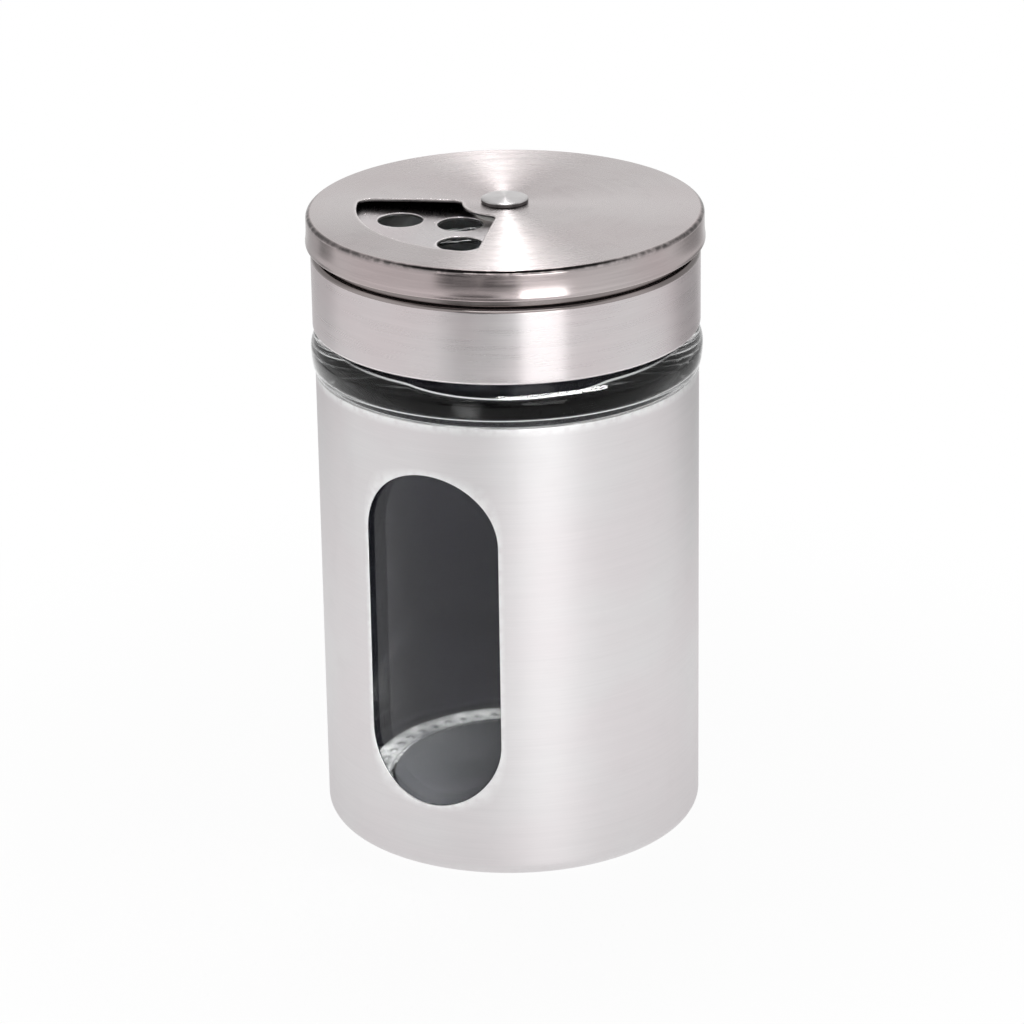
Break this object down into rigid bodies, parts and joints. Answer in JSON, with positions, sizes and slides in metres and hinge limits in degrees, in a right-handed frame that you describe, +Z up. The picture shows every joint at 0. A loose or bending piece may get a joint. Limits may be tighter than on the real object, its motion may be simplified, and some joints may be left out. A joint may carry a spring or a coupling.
{
  "type": "spice shaker",
  "caption": "Small table spice shaker: a glass jar in a brushed steel sleeve with a viewing window, and a screw cap with a turning dial over shaker holes.",
  "frame": {"origin": "middle of the sleeve's foot ring on the table, on the jar's axis", "axes": "+Z up the jar's axis, -Y out through the middle of the sleeve's viewing window, +X to the right of someone facing the window"},
  "size_m": [0.0508, 0.0508, 0.0838],
  "materials": {
    "sleeve_steel": "fine brushing round the barrel",
    "cap_steel": "brushed round the skirt, satin plate",
    "dial_steel": "spun in circles about the rivet",
    "rivet_steel": "polished",
    "jar_glass": "clear pressed glass",
    "seal_rubber": "soft black silicone",
    "liner_plastic": "moulded, black",
    "washer_plastic": "moulded, natural white",
    "pad_foam": "adhesive foam"
  },
  "bodies": {
    "jar": {"steel_sleeve": "sleeve_steel", "glass_jar": "jar_glass", "base_pad": "pad_foam"},
    "gasket": {"seal_ring": "seal_rubber"},
    "cap": {"cap_shell": "cap_steel", "cap_liner": "liner_plastic", "friction_washer": "washer_plastic", "pivot_rivet": "rivet_steel"},
    "dial": {"dial": "dial_steel"}
  },
  "joints": [
    {"name": "cap_lift", "type": "slide", "parent": "jar", "child": "gasket", "axis": [0, 0, 1], "range_m": [0, 0.0143]},
    {"name": "cap_unscrew", "type": "hinge", "parent": "gasket", "child": "cap", "pos_m": [0, 0, 0.0793], "axis": [0, 0, 1], "range_deg": [0, 1210]},
    {"name": "dial_turn", "type": "hinge", "parent": "cap", "child": "dial", "pos_m": [0, 0, 0.0826], "axis": [0, 0, 1], "continuous": true}
  ],
  "couplings": [
    {"joint": "cap_lift", "follows": "cap_unscrew", "m_per_rad": 0.0006737}
  ]
}
